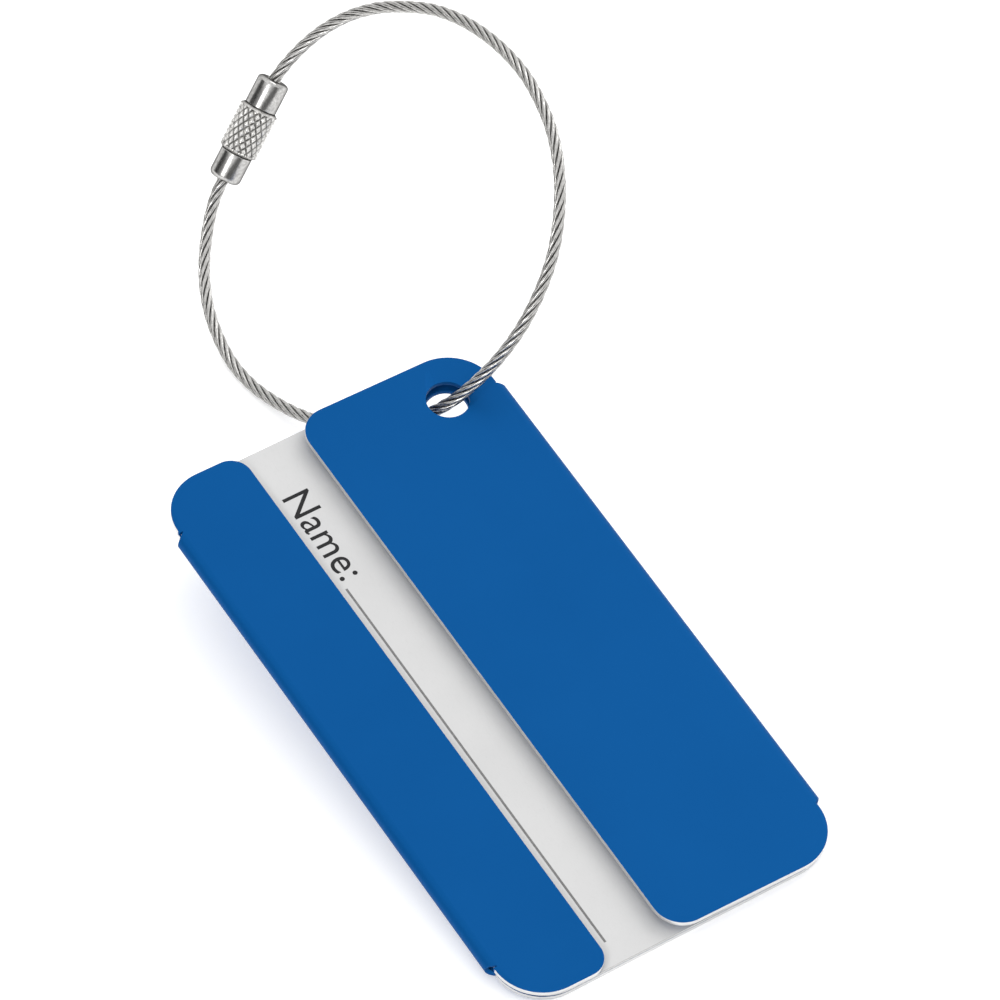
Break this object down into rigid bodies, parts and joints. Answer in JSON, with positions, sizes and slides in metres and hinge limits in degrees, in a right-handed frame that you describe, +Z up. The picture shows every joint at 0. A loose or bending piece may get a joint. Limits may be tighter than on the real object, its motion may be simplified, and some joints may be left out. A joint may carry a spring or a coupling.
{
  "type": "luggage tag",
  "caption": "Folded metal luggage tag with a slide-in name card held under two front flaps, on a stiff wire rope loop closed by a knurled screw clasp.",
  "frame": {"origin": "on the surface the tag lies on, under the middle of the folded holder", "axes": "+Z up; +Y along the holder from its bottom end towards the hole and the wire loop; +X across it, towards the wide flap. The holder leans 7.94 degrees about X, hole end up, because the wire loop props it"},
  "size_m": [0.0621, 0.1248, 0.0379],
  "materials": {
    "blue_aluminium": "satin blue anodised sheet with bare cut edges",
    "card": "smooth matte white card",
    "rope_steel": "bright stainless wire",
    "clasp_steel": "polished, with a diamond knurl on the sleeve"
  },
  "bodies": {
    "shell": {"folded_shell": "blue_aluminium"},
    "card": {"name_card": "card"},
    "loop": {"wire_rope": "rope_steel", "swivel_ferrule": "clasp_steel", "threaded_ferrule": "clasp_steel"},
    "sleeve": {"knurled_sleeve": "clasp_steel"}
  },
  "joints": [
    {"name": "card_slide", "type": "slide", "parent": "shell", "child": "card", "axis": [0, -0.9904, -0.1381], "range_m": [0, 0.07]},
    {"name": "loop_swing", "type": "hinge", "parent": "shell", "child": "loop", "pos_m": [0.01515, 0.03447, 0.0115], "axis": [0, -0.9904, -0.1381], "range_deg": [0, 86]},
    {"name": "sleeve_turn", "type": "hinge", "parent": "loop", "child": "sleeve", "pos_m": [0.02132, 0.08275, 0.02164], "axis": [0.6842, 0.1988, 0.7017], "range_deg": [0, 1080]}
  ]
}
